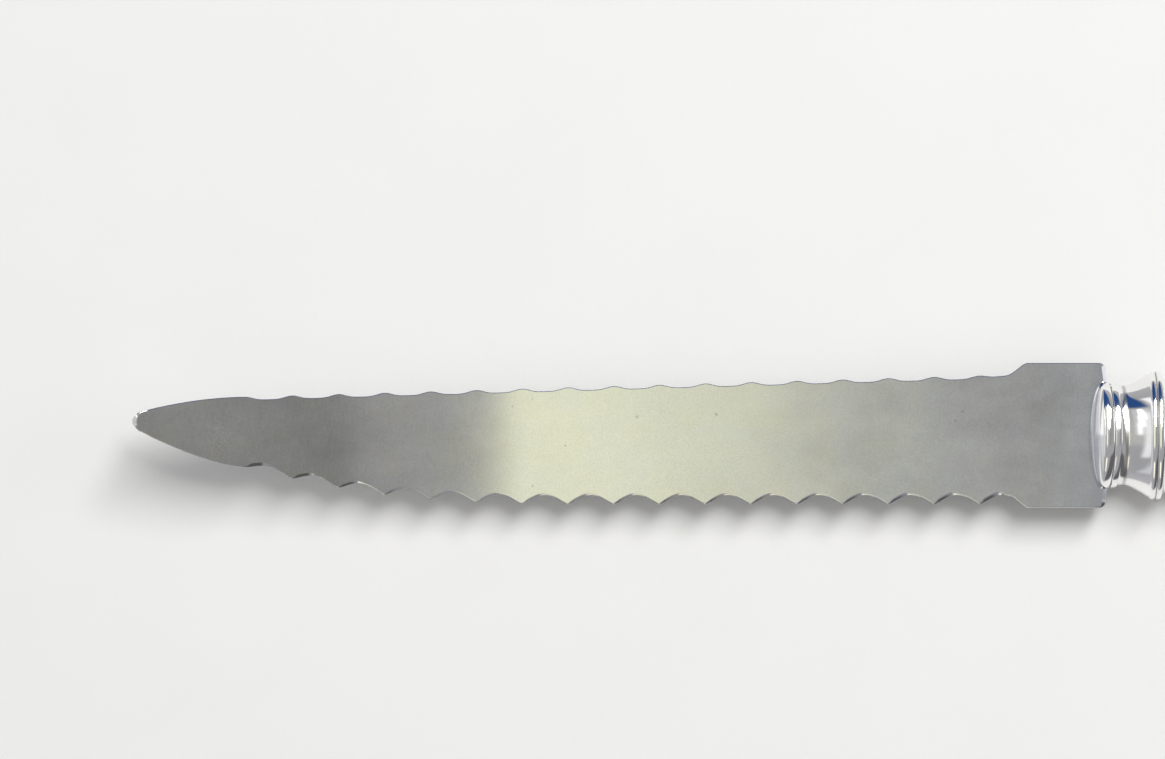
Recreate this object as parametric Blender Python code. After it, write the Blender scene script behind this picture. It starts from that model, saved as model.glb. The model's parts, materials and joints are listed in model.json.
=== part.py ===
"""Grapefruit knife: a scalloped, double-edged steel blade cemented into a hollow silver handle.

Metres, +Z up. The knife lies on its side as it does on a table. The tip points to -X and the handle to +X,
and the blade's broad faces look up and down. The origin is on that table, under the middle of the knife.
Modelling is done about the knife's own axis, with x = 0 at the back corners of the blade's shoulder.
"""

import math

import bmesh
import bpy

MM = 0.001

# Blade in plan. Distances along it run from its back corners to its tip.
BLADE_LENGTH = 106.5 * MM
BLADE_THICKNESS = 1.1 * MM
EDGE_THICKNESS = 0.35 * MM
EDGE_BEVEL = 0.42 * MM
SHOULDER_WIDTH = 15.9 * MM
SHOULDER_LENGTH = 8.5 * MM
SHOULDER_RISE = 2.8 * MM
SHOULDER_RISE_POWER = 1.45
SHOULDER_CORNER = 0.7 * MM
BACK_BULGE = 0.55 * MM

# Scallops. The shallow edge is at +Y, the deep edge at -Y.
SCALLOP_COUNT = 17
SHALLOW_DEPTH = 0.34 * MM
SHALLOW_POWER = 1.1
SHALLOW_START = 7.8 * MM
SHALLOW_AT_SHOULDER = 6.63 * MM
SHALLOW_AT_POINT = 4.24 * MM
DEEP_DEPTH = 1.02 * MM
DEEP_FADE = 0.35
DEEP_POWER = 1.25
DEEP_AT_SHOULDER = 7.57 * MM
DEEP_AT_POINT = 3.42 * MM
BELLY_LENGTH = 33.3 * MM
BELLY_POWER = 2.24

# Plain point ahead of the last scallop, and its round nose.
POINT_LENGTH = 12.2 * MM
SHALLOW_POINT_DROP = 1.85 * MM
SHALLOW_POINT_POWER = 1.88
DEEP_POINT_RISE = 4.35 * MM
DEEP_POINT_POWER = 1.54
NOSE_LENGTH = 0.9 * MM
NOSE_START = math.radians(25)

# The blade's front part is bent up out of its plane, to follow the inside of the fruit.
BEND_START = 62.9 * MM
BEND_LENGTH = 34.0 * MM
BEND_ANGLE = math.radians(13)

# Tang, inside the handle.
TANG_LENGTH = 46.0 * MM
TANG_ROOT_WIDTH = 6.6 * MM
TANG_END_WIDTH = 4.6 * MM
TANG_NOTCH_COUNT = 3
TANG_NOTCH_LENGTH = 5.0 * MM
TANG_NOTCH_DEPTH = 0.6 * MM

# Handle. Distances along it run from the crown of its domed front to the end of its butt.
HANDLE_LENGTH = 106.4 * MM
HANDLE_THICKNESS = 8.8 * MM
SEAT_DEPTH = 1.9 * MM
SHELL_WALL = 0.5 * MM
SEAM_WIDTH = 0.2 * MM

# Collar mouldings, from the blade backwards: the cap's dome and bead, groove, fillet, waist, flare.
CROWN_WIDTH = 0.5 * MM
DOME_LENGTH = 1.5 * MM
BEAD_WIDTH = 11.9 * MM
BEAD_BACK_LENGTH = 0.85 * MM
BEAD_LEAN = 0.35 * MM
GROOVE_WIDTH = 11.2 * MM
FILLET_WIDTH = 11.55 * MM
FILLET_END_WIDTH = 11.38 * MM
FILLET_LENGTH = 0.74 * MM
WAIST_WIDTH = 10.96 * MM
WAIST_FALL_LENGTH = 0.9 * MM
FLARE_LENGTH = 2.65 * MM
FLARE_POWER = 1.3

# Pairs of raised reeds, at the collar and before the butt, and the body between them.
REED_COUNT = 2
REED_LENGTH = 0.68 * MM
REED_HEIGHT = 0.15 * MM
COLLAR_REED_WIDTH = 14.1 * MM
BUTT_REED_WIDTH = 16.6 * MM
NECK_WIDTH = 11.7 * MM
NECK_COVE_LENGTH = 2.2 * MM
BODY_SWELL_POWER = 1.35
BUTT_COVE_LENGTH = 1.5 * MM
BUTT_DOME_WIDTH = 15.4 * MM
BUTT_DOME_LENGTH = 8.5 * MM
BUTT_END_WIDTH = 0.5 * MM

# Gaps that let the pieces go together.
SOLDER_GAP = 0.05 * MM
CEMENT_GAP = 0.1 * MM
SLOT_CLEARANCE = 0.1 * MM

# How finely curves are divided.
STEPS_PER_SCALLOP = 8
STEPS_PER_ARC = 5
STEPS_PER_REED = 4
FLARE_STEPS = 7
POINT_STEPS = 6
BODY_STEPS = 12
TANG_STEPS = 24
HOLLOW_STEPS = 24
JOINT_STEPS = 12
SECTION_SIDES = 24

# Values that follow from the ones above.
HALF_SHOULDER = SHOULDER_WIDTH / 2
SERRATED_END = BLADE_LENGTH - POINT_LENGTH
FIRST_VALLEY = SHOULDER_LENGTH + SHOULDER_RISE
SCALLOP_PITCH = (SERRATED_END - FIRST_VALLEY) / (SCALLOP_COUNT - 0.5)
BEND_RADIUS = BEND_LENGTH / math.sin(BEND_ANGLE)
AXIS_HEIGHT = HANDLE_THICKNESS / 2
HANDLE_BACK = HANDLE_LENGTH - SEAT_DEPTH
MIDDLE_SHIFT = (BLADE_LENGTH - HANDLE_BACK) / 2
REEDS_LENGTH = REED_COUNT * REED_LENGTH
CAP_JOINT = DOME_LENGTH + BEAD_BACK_LENGTH
FILLET_END = CAP_JOINT + FILLET_LENGTH
COLLAR_REEDS_START = FILLET_END + WAIST_FALL_LENGTH + FLARE_LENGTH
NECK_START = COLLAR_REEDS_START + REEDS_LENGTH + NECK_COVE_LENGTH
BUTT_DOME_START = HANDLE_LENGTH - BUTT_DOME_LENGTH
BUTT_REEDS_START = BUTT_DOME_START - BUTT_COVE_LENGTH - REEDS_LENGTH


def clear_scene():
    for obj in list(bpy.data.objects):
        bpy.data.objects.remove(obj)


def make_material(name, colour, roughness, metallic):
    material = bpy.data.materials.new(name)
    material.use_nodes = True
    shader = material.node_tree.nodes["Principled BSDF"]
    shader.inputs["Base Color"].default_value = (*colour, 1.0)
    shader.inputs["Roughness"].default_value = roughness
    shader.inputs["Metallic"].default_value = metallic
    return material


def make_root():
    """The empty on the knife's axis that every piece hangs from."""
    root = bpy.data.objects.new("knife_axis", None)
    root.location = (MIDDLE_SHIFT, 0.0, AXIS_HEIGHT)
    bpy.context.scene.collection.objects.link(root)
    return root


def add_object(name, mesh, root):
    obj = bpy.data.objects.new(name, mesh)
    obj.parent = root
    bpy.context.scene.collection.objects.link(obj)
    return obj


def loft(name, rings):
    """A closed mesh through rings of equally many points, with a flat cap on the first and last ring."""
    form = bmesh.new()
    loops = [[form.verts.new(point) for point in ring] for ring in rings]
    for loop, following in zip(loops, loops[1:]):
        for i in range(len(loop)):
            j = (i + 1) % len(loop)
            form.faces.new((loop[i], loop[j], following[j], following[i]))
    form.faces.new(loops[0])
    form.faces.new(loops[-1])
    bmesh.ops.recalc_face_normals(form, faces=form.faces)
    mesh = bpy.data.meshes.new(name)
    form.to_mesh(mesh)
    form.free()
    return mesh


def shade(mesh, crease):
    mesh.shade_smooth()
    mesh.set_sharp_from_angle(angle=crease)


def eased(share):
    """0 to 1 with a level start and end."""
    share = min(1.0, max(0.0, share))
    return share * share * (3.0 - 2.0 * share)


def scallop_share(along):
    """How far a place lies across its scallop, 0 to 1, counted from the handle's side."""
    return math.modf(max(0.0, along - FIRST_VALLEY) / SCALLOP_PITCH + 0.5)[0]


def risen(along, half):
    """Half width of an edge with its rise to the shoulder, which takes the place of half a scallop."""
    share = eased((FIRST_VALLEY - along) / SHOULDER_RISE) ** SHOULDER_RISE_POWER
    return half + (HALF_SHOULDER - half) * share


def serrated_edges(along):
    """(+Y edge, -Y edge) of the blade between the shoulder and the last scallop's end."""
    share = (along - FIRST_VALLEY) / (SERRATED_END - FIRST_VALLEY)
    arch = max(0.0, math.sin(math.pi * scallop_share(along)))
    shallow_line = SHALLOW_AT_SHOULDER + (SHALLOW_AT_POINT - SHALLOW_AT_SHOULDER) * share
    shallow_depth = SHALLOW_DEPTH * eased((along - SHOULDER_LENGTH) / SHALLOW_START)
    shallow = shallow_line - shallow_depth * eased(arch**SHALLOW_POWER)
    belly = max(0.0, (along - SERRATED_END) / BELLY_LENGTH + 1.0)
    deep_line = DEEP_AT_SHOULDER - (DEEP_AT_SHOULDER - DEEP_AT_POINT) * belly**BELLY_POWER
    deep_depth = DEEP_DEPTH * (1.0 - DEEP_FADE * belly**2)
    deep = deep_line - deep_depth * arch**DEEP_POWER
    return risen(along, shallow), -risen(along, deep)


def point_edges(along):
    """(+Y edge, -Y edge) of the plain point, before its nose is rounded."""
    share = (along - SERRATED_END) / POINT_LENGTH
    shallow = SHALLOW_AT_POINT - SHALLOW_POINT_DROP * share**SHALLOW_POINT_POWER
    deep = -DEEP_AT_POINT + DEEP_POINT_RISE * share**DEEP_POINT_POWER
    return shallow, deep


def blade_lift(along):
    """Height of the blade's middle surface above the knife's axis."""
    run = along - BEND_START
    if run <= 0.0:
        return 0.0
    if run <= BEND_LENGTH:
        return BEND_RADIUS - math.sqrt(BEND_RADIUS**2 - run**2)
    return BEND_RADIUS * (1.0 - math.cos(BEND_ANGLE)) + (run - BEND_LENGTH) * math.tan(BEND_ANGLE)


def blade_ring(along, shallow, deep):
    """Eight-sided cross-section: two broad faces, two thin edges and the four bevels between them."""
    lift = blade_lift(along)
    bevel = min(EDGE_BEVEL, (shallow - deep) / 4)
    face, edge = BLADE_THICKNESS / 2, EDGE_THICKNESS / 2
    corners = (
        (shallow - bevel, face), (deep + bevel, face), (deep, edge), (deep, -edge),
        (deep + bevel, -face), (shallow - bevel, -face), (shallow, -edge), (shallow, edge),
    )
    return [(-along, y, lift + z) for y, z in corners]


def tang_half_width(share):
    """Half width of the tang, which tapers and has notches that key it into the cement."""
    half = (TANG_ROOT_WIDTH + (TANG_END_WIDTH - TANG_ROOT_WIDTH) * share) / 2
    spacing = 1.0 / TANG_NOTCH_COUNT
    from_notch = (math.modf(share / spacing)[0] - 0.5) * spacing * TANG_LENGTH
    if abs(from_notch) < TANG_NOTCH_LENGTH / 2:
        half -= TANG_NOTCH_DEPTH * math.cos(math.pi * from_notch / TANG_NOTCH_LENGTH) ** 2
    return half


def back_outline():
    """(x, half width) of the blade's back: the shoulder, its round corners, the bulged edge, the tang."""
    points = [(-(SEAT_DEPTH + SHOULDER_CORNER), HALF_SHOULDER)]
    for i in range(STEPS_PER_ARC):
        turn = math.pi / 2 * i / STEPS_PER_ARC
        across = HALF_SHOULDER - SHOULDER_CORNER * (1.0 - math.cos(turn))
        points.append((SHOULDER_CORNER * (math.sin(turn) - 1.0), across))
    root_half = TANG_ROOT_WIDTH / 2
    first_half = HALF_SHOULDER - SHOULDER_CORNER
    for i in range(STEPS_PER_ARC + 1):
        across = first_half + (root_half - first_half) * i / STEPS_PER_ARC
        points.append((BACK_BULGE * (1.0 - (across / first_half) ** 2), across))
    tang_start = points[-1][0]
    for i in range(1, TANG_STEPS + 1):
        share = i / TANG_STEPS
        points.append((tang_start + TANG_LENGTH * share, tang_half_width(share)))
    return points


def blade_rings():
    """Cross-sections from the nose to the end of the tang."""
    rings = []
    nose_middle = sum(point_edges(BLADE_LENGTH - NOSE_LENGTH)) / 2
    for i in range(STEPS_PER_ARC):
        turn = NOSE_START + (math.pi / 2 - NOSE_START) * i / STEPS_PER_ARC
        along = BLADE_LENGTH - NOSE_LENGTH * (1.0 - math.cos(turn) / math.cos(NOSE_START))
        edges = [nose_middle + (y - nose_middle) * math.sin(turn) for y in point_edges(along)]
        rings.append(blade_ring(along, *edges))
    for i in range(POINT_STEPS):
        along = BLADE_LENGTH - NOSE_LENGTH - (POINT_LENGTH - NOSE_LENGTH) * i / POINT_STEPS
        rings.append(blade_ring(along, *point_edges(along)))
    rings.append(blade_ring(SERRATED_END, SHALLOW_AT_POINT, -DEEP_AT_POINT))
    steps = SCALLOP_COUNT * STEPS_PER_SCALLOP - STEPS_PER_SCALLOP // 2
    for i in range(1, steps + 1):
        along = SERRATED_END - (SERRATED_END - FIRST_VALLEY) * i / steps
        rings.append(blade_ring(along, *serrated_edges(along)))
    for i in range(1, STEPS_PER_SCALLOP + 1):
        along = FIRST_VALLEY - SHOULDER_RISE * i / STEPS_PER_SCALLOP
        rings.append(blade_ring(along, *serrated_edges(along)))
    rings += [blade_ring(-x, half, -half) for x, half in back_outline()]
    return rings


def arc_points(start, length, from_half, to_half, bulging):
    """(distance, half width) along a quarter ellipse between two half widths, without its first point."""
    points = []
    for i in range(1, STEPS_PER_ARC + 1):
        turn = math.pi / 2 * i / STEPS_PER_ARC
        share = math.sin(turn) if bulging else 1.0 - math.cos(turn)
        drop = 1.0 - math.cos(turn) if bulging else math.sin(turn)
        points.append((start + length * share, from_half + (to_half - from_half) * drop))
    return points


def reed_points(start, base_half):
    """(distance, half width) over one group of raised reeds."""
    points = []
    for reed in range(REED_COUNT):
        for i in range(STEPS_PER_REED):
            share = i / STEPS_PER_REED
            height = REED_HEIGHT * math.sqrt(math.sin(math.pi * share))
            points.append((start + REED_LENGTH * (reed + share), base_half + height))
    points.append((start + REEDS_LENGTH, base_half))
    return points


def handle_profile():
    """(distance from the dome's crown, half width) along the handle, from crown to butt."""
    collar_base = COLLAR_REED_WIDTH / 2 - REED_HEIGHT
    butt_base = BUTT_REED_WIDTH / 2 - REED_HEIGHT
    points = [(0.0, CROWN_WIDTH / 2)]
    for i in range(1, STEPS_PER_ARC + 1):
        turn = math.pi / 2 * i / STEPS_PER_ARC
        points.append((DOME_LENGTH * (1.0 - math.cos(turn)), BEAD_WIDTH / 2 * math.sin(turn)))
    points += arc_points(DOME_LENGTH, BEAD_BACK_LENGTH, BEAD_WIDTH / 2, GROOVE_WIDTH / 2, True)
    step = FILLET_LENGTH / STEPS_PER_ARC
    points.append((CAP_JOINT + step, FILLET_WIDTH / 2))
    points += arc_points(CAP_JOINT + step, FILLET_LENGTH - step, FILLET_WIDTH / 2, FILLET_END_WIDTH / 2, True)
    points += arc_points(FILLET_END, WAIST_FALL_LENGTH, FILLET_END_WIDTH / 2, WAIST_WIDTH / 2, False)
    flare_start = FILLET_END + WAIST_FALL_LENGTH
    for i in range(1, FLARE_STEPS):
        share = i / FLARE_STEPS
        half = WAIST_WIDTH / 2 + (collar_base - WAIST_WIDTH / 2) * share**FLARE_POWER
        points.append((flare_start + FLARE_LENGTH * share, half))
    points += reed_points(COLLAR_REEDS_START, collar_base)
    cove_start = COLLAR_REEDS_START + REEDS_LENGTH
    points += arc_points(cove_start, NECK_COVE_LENGTH, collar_base, NECK_WIDTH / 2, False)
    for i in range(1, BODY_STEPS):
        share = i / BODY_STEPS
        half = NECK_WIDTH / 2 + (butt_base - NECK_WIDTH / 2) * eased(share) ** BODY_SWELL_POWER
        points.append((NECK_START + (BUTT_REEDS_START - NECK_START) * share, half))
    points += reed_points(BUTT_REEDS_START, butt_base)
    butt_cove = BUTT_DOME_START - BUTT_COVE_LENGTH
    points += arc_points(butt_cove, BUTT_COVE_LENGTH, butt_base, BUTT_DOME_WIDTH / 2, False)
    butt_steps = 2 * STEPS_PER_ARC
    for i in range(1, butt_steps):
        turn = math.pi / 2 * i / butt_steps
        half = BUTT_DOME_WIDTH / 2 * math.cos(turn)
        points.append((BUTT_DOME_START + BUTT_DOME_LENGTH * math.sin(turn), half))
    points.append((HANDLE_LENGTH, BUTT_END_WIDTH / 2))
    return points


def flatness(along):
    """Thickness over width: both groups of reeds are as thick, so that the handle lies level on them."""
    collar_reeds_end = COLLAR_REEDS_START + REEDS_LENGTH
    share = (along - collar_reeds_end) / (BUTT_REEDS_START - collar_reeds_end)
    share = min(1.0, max(0.0, share))
    at_collar = HANDLE_THICKNESS / COLLAR_REED_WIDTH
    at_butt = HANDLE_THICKNESS / BUTT_REED_WIDTH
    return at_collar + (at_butt - at_collar) * share


def lean(along, z):
    """How far a place on the collar is set back: the bead and fillet swing back over the broad faces."""
    fade = min(1.0, max(0.0, (COLLAR_REEDS_START - along) / (COLLAR_REEDS_START - FILLET_END)))
    bead_half_thickness = BEAD_WIDTH / 2 * flatness(DOME_LENGTH)
    return BEAD_LEAN * fade * (z / bead_half_thickness) ** 2


def oval_ring(along, half_width, half_thickness):
    """Oval cross-section whose flat sides lie at the full width and thickness."""
    ring = []
    reach = 1.0 / math.cos(math.pi / SECTION_SIDES)
    for i in range(SECTION_SIDES):
        turn = 2 * math.pi * (i + 0.5) / SECTION_SIDES
        y = half_width * reach * math.cos(turn)
        z = half_thickness * reach * math.sin(turn)
        ring.append((along - SEAT_DEPTH, y, z))
    return ring


def outside_rings():
    """Cross-sections of the handle's outside, from the crown of its dome to its butt."""
    rings = []
    for along, half in handle_profile():
        ring = oval_ring(along, half, half * flatness(along))
        rings.append([(x + lean(along, z), y, z) for x, y, z in ring])
    return rings


def narrowest(profile, low, high):
    """Smallest half width of a profile between two distances along it."""
    ends = [width_at(profile, low), width_at(profile, high)]
    return min(ends + [half for along, half in profile if low <= along <= high])


def width_at(profile, along):
    """Half width of a profile at any distance, zero outside it."""
    if along < profile[0][0] or along > profile[-1][0]:
        return 0.0
    for (first, first_half), (second, second_half) in zip(profile, profile[1:]):
        if along <= second:
            return first_half + (second_half - first_half) * (along - first) / (second - first)
    return profile[-1][1]


def hollow_stations():
    """(distance, half width, half thickness) of the hollow, a wall inside the narrowest moulding near."""
    profile = handle_profile()
    stations = []
    for i in range(HOLLOW_STEPS + 1):
        along = HANDLE_LENGTH * eased(i / HOLLOW_STEPS)
        outside = narrowest(profile, along - SHELL_WALL, along + SHELL_WALL)
        half_thickness = outside * flatness(along) - SHELL_WALL
        if half_thickness > SHELL_WALL:
            stations.append((along, outside - SHELL_WALL, half_thickness))
    return stations


def hollow_mesh(name, gap):
    """The space of the handle's hollow, made smaller all round by a gap."""
    stations = hollow_stations()
    rings = []
    for along, half_width, half_thickness in stations:
        inside = min(max(along, stations[0][0] + gap), stations[-1][0] - gap)
        rings.append(oval_ring(inside, half_width - gap, half_thickness - gap))
    return loft(name, rings)


def add_cutter(name, mesh, root):
    cutter = add_object(name, mesh, root)
    cutter.hide_render = True
    cutter.display_type = "WIRE"
    return cutter


def block_mesh(name, low_z, high_z):
    """A block over the whole handle between two heights."""
    front, back = -SEAT_DEPTH - HANDLE_THICKNESS, HANDLE_BACK + HANDLE_THICKNESS
    side = BUTT_REED_WIDTH + COLLAR_REED_WIDTH
    corners = ((-side, low_z), (side, low_z), (side, high_z), (-side, high_z))
    return loft(name, [[(x, y, z) for y, z in corners] for x in (front, back)])


def joint_mesh(name, along, end):
    """A block from the leaning joint behind the front cap, a distance along the handle, to x = end."""
    side = BUTT_REED_WIDTH
    outline = []
    for i in range(JOINT_STEPS + 1):
        z = HANDLE_THICKNESS * (i / JOINT_STEPS - 0.5)
        outline.append((along - SEAT_DEPTH + lean(along, z), z))
    outline += [(end, HANDLE_THICKNESS / 2), (end, -HANDLE_THICKNESS / 2)]
    return loft(name, [[(x, y, z) for x, z in outline] for y in (-side, side)])


def slot_cutter_mesh():
    """The space of the blade's back and tang, with clearance all round."""
    half = BLADE_THICKNESS / 2 + SLOT_CLEARANCE
    ahead = -(SEAT_DEPTH + SHOULDER_LENGTH)
    outline = [(ahead, HALF_SHOULDER)] + back_outline()
    rings = []
    for x, across in outline:
        side = across + SLOT_CLEARANCE
        corners = ((side, half), (-side, half), (-side, -half), (side, -half))
        rings.append([(x + SLOT_CLEARANCE, y, z) for y, z in corners])
    return loft("slot_space", rings)


def boolean(obj, operation, other):
    modifier = obj.modifiers.new(operation.lower() + "_" + other.name, "BOOLEAN")
    modifier.operation = operation
    modifier.solver = "EXACT"
    modifier.object = other


def build_blade(root, steel):
    blade = add_object("blade", loft("blade", blade_rings()), root)
    blade.data.materials.append(steel)
    shade(blade.data, math.radians(20))


def build_handle(root, silver, solder, cement):
    outer = outside_rings()
    slot = add_cutter("slot_space", slot_cutter_mesh(), root)
    hollow = add_cutter("hollow_space", hollow_mesh("hollow_space", 0.0), root)
    far = HANDLE_THICKNESS
    below = add_cutter("below_seam", block_mesh("below_seam", -far, SEAM_WIDTH / 2), root)
    above = add_cutter("above_seam", block_mesh("above_seam", -SEAM_WIDTH / 2, far), root)
    film = SEAM_WIDTH / 2 - SOLDER_GAP
    seam = add_cutter("seam_space", block_mesh("seam_space", -film, film), root)
    half_gap = SOLDER_GAP / 2
    behind = add_cutter("behind_cap", joint_mesh("behind_cap", CAP_JOINT - half_gap, HANDLE_LENGTH), root)
    front = -HANDLE_LENGTH
    ahead = add_cutter("ahead_of_shells", joint_mesh("ahead_of_shells", CAP_JOINT + half_gap, front), root)

    cap = add_object("front_cap", loft("front_cap", outer), root)
    for space in (behind, hollow, slot):
        boolean(cap, "DIFFERENCE", space)
    cap.data.materials.append(silver)
    shade(cap.data, math.radians(35))

    shells = (("handle_upper_half", below), ("handle_lower_half", above))
    for name, other_side in shells:
        shell = add_object(name, loft(name, outer), root)
        for space in (hollow, other_side, ahead):
            boolean(shell, "DIFFERENCE", space)
        shell.data.materials.append(silver)
        shade(shell.data, math.radians(35))

    line = add_object("seam_solder", loft("seam_solder", outer), root)
    boolean(line, "INTERSECT", seam)
    for space in (hollow, ahead):
        boolean(line, "DIFFERENCE", space)
    line.data.materials.append(solder)

    core = add_object("handle_cement", hollow_mesh("handle_cement", CEMENT_GAP), root)
    boolean(core, "DIFFERENCE", slot)
    core.data.materials.append(cement)
    shade(core.data, math.radians(35))


def main():
    clear_scene()
    root = make_root()
    steel = make_material("stainless_steel", (0.60, 0.60, 0.56), 0.32, 1.0)
    silver = make_material("polished_silver", (0.93, 0.92, 0.90), 0.08, 1.0)
    solder = make_material("silver_solder", (0.80, 0.79, 0.76), 0.25, 1.0)
    cement = make_material("handle_cement", (0.16, 0.11, 0.08), 0.8, 0.0)
    build_blade(root, steel)
    build_handle(root, silver, solder, cement)


main()
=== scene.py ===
"""Looks of the grapefruit knife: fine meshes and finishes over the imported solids, on a pale table.

Metres, +Z up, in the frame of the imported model: the tip points to -X, the butt to +X, and z = 0 is the table.
Shapes are worked out about the knife's own axis, with x = 0 at the back corners of the blade's shoulder, from
the same sizes as the solids. On the blade, "along" is the distance from those corners to the tip. On the
handle, it is the distance from the crown of the domed cap to the butt.
"""

import json
import math

import bmesh
import bpy
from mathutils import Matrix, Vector

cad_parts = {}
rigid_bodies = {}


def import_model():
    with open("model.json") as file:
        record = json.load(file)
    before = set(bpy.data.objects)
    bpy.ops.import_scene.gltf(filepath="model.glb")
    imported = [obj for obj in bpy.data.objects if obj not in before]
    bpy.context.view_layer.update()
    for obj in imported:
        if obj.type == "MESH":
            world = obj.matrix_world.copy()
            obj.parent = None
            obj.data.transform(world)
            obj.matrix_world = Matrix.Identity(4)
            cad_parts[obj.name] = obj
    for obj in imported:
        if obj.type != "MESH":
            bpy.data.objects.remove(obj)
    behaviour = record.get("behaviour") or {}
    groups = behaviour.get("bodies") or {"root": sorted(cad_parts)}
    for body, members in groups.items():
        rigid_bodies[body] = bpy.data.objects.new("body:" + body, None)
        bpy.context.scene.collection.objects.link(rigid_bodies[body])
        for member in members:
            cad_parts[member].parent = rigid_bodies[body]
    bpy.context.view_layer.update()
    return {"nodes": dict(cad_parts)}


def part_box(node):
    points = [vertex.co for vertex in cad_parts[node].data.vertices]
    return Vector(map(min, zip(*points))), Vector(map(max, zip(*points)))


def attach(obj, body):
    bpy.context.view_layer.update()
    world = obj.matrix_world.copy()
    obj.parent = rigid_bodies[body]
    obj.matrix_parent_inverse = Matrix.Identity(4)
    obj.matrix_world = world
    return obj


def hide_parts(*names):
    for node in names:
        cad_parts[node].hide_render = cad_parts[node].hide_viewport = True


MM = 0.001

# Blade in plan.
BLADE_LENGTH = 106.5 * MM
BLADE_THICKNESS = 1.1 * MM
HALF_SHOULDER = 15.9 * MM / 2
SHOULDER_LENGTH = 8.5 * MM
SHOULDER_RISE = 2.8 * MM
SHOULDER_RISE_POWER = 1.45
SHOULDER_CORNER = 0.7 * MM
BACK_BULGE = 0.55 * MM
SCALLOP_COUNT = 17
SHALLOW_DEPTH = 0.34 * MM
SHALLOW_POWER = 1.1
SHALLOW_START = 7.8 * MM
SHALLOW_AT_SHOULDER = 6.63 * MM
SHALLOW_AT_POINT = 4.24 * MM
DEEP_DEPTH = 1.02 * MM
DEEP_FADE = 0.35
DEEP_POWER = 1.25
DEEP_AT_SHOULDER = 7.57 * MM
DEEP_AT_POINT = 3.42 * MM
BELLY_LENGTH = 33.3 * MM
BELLY_POWER = 2.24
POINT_LENGTH = 12.2 * MM
SHALLOW_POINT_DROP = 1.85 * MM
SHALLOW_POINT_POWER = 1.88
DEEP_POINT_RISE = 4.35 * MM
DEEP_POINT_POWER = 1.54
NOSE_LENGTH = 0.9 * MM
NOSE_START = math.radians(2)

# The bend of the blade's front part, and the tang.
BEND_START = 62.9 * MM
BEND_LENGTH = 34.0 * MM
BEND_ANGLE = math.radians(13)
TANG_LENGTH = 46.0 * MM
TANG_ROOT_WIDTH = 6.6 * MM
TANG_END_WIDTH = 4.6 * MM
TANG_NOTCH_COUNT = 3
TANG_NOTCH_LENGTH = 5.0 * MM
TANG_NOTCH_DEPTH = 0.6 * MM

# Ground edges of the blade. The cutting bevel is on the underside. The upper face has only a fine break along
# its edges, a facet on the tip side of each deep scallop, narrowest midway, and a bevel round its nose.
# FACET_START, FACET_FULL and FACET_END are shares of a scallop. The deep side's slopes go by the distance
# along, those of the nose by the share of its bevel's length.
EDGE_BREAK = 0.06 * MM
FACET_WIDTH = 0.30 * MM
FACET_MIDDLE = 0.35
FACET_START = 0.40
FACET_FULL = 0.62
FACET_END = 0.14
FACET_STEEPNESS = ((50.0 * MM, 0.36), (74.0 * MM, 0.22), (90.0 * MM, 0.6))
NOSE_BREAK = 0.5 * MM
NOSE_BREAK_LENGTH = 1.8 * MM
NOSE_STEEPNESS = ((0.0, 0.6), (0.5, 0.34), (1.0, 0.6))
BREAK_STEEPNESS = 0.6
CUTTING_BEVEL = 0.5 * MM
BLUNT_LENGTH = 3.0 * MM
CUTTING_EDGE = 0.35 * MM
PLAIN_EDGE = 0.9 * MM
BACK_BEVEL = 0.42 * MM

# Waviness of the ground faces, each wave as its size and its turns by x and by y, and the faces' slight rise
# next to the handle.
FACE_WAVE = 0.003 * MM
FACE_WAVE_LENGTH = 19.0 * MM
FACE_WAVES = ((1.0, 1.0, 0.4), (0.6, 0.37, -1.3))
BACK_RISE = 0.004
BACK_RISE_START = -5.1 * MM
BACK_RISE_SLANT = 0.19
BACK_RISE_EASE = 1.5 * MM

# Handle.
HANDLE_LENGTH = 106.4 * MM
HANDLE_THICKNESS = 8.8 * MM
SEAT_DEPTH = 1.9 * MM
CROWN_WIDTH = 0.5 * MM
DOME_LENGTH = 1.5 * MM
BEAD_WIDTH = 11.9 * MM
BEAD_BACK_LENGTH = 0.85 * MM
BEAD_LEAN = 0.35 * MM
GROOVE_WIDTH = 11.2 * MM
FILLET_WIDTH = 11.55 * MM
FILLET_END_WIDTH = 11.38 * MM
FILLET_LENGTH = 0.74 * MM
WAIST_WIDTH = 10.96 * MM
WAIST_FALL_LENGTH = 0.9 * MM
FLARE_LENGTH = 2.65 * MM
FLARE_POWER = 1.3
REED_COUNT = 2
REED_LENGTH = 0.68 * MM
REED_HEIGHT = 0.15 * MM
COLLAR_REED_WIDTH = 14.1 * MM
BUTT_REED_WIDTH = 16.6 * MM
NECK_WIDTH = 11.7 * MM
NECK_COVE_LENGTH = 2.2 * MM
BODY_SWELL_POWER = 1.35
BUTT_COVE_LENGTH = 1.5 * MM
BUTT_DOME_WIDTH = 15.4 * MM
BUTT_DOME_LENGTH = 8.5 * MM
BUTT_END_WIDTH = 0.5 * MM
SHEET_THICKNESS = 0.3 * MM
LEAST_INSIDE = 0.15 * MM
JOINT_GAP = 0.03 * MM
SEAM_GAP = 0.03 * MM
SOLDER_HALF = 0.022 * MM
SOLDER_PROUD = 0.006 * MM
SLOT_CLEARANCE = 0.03 * MM

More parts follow.
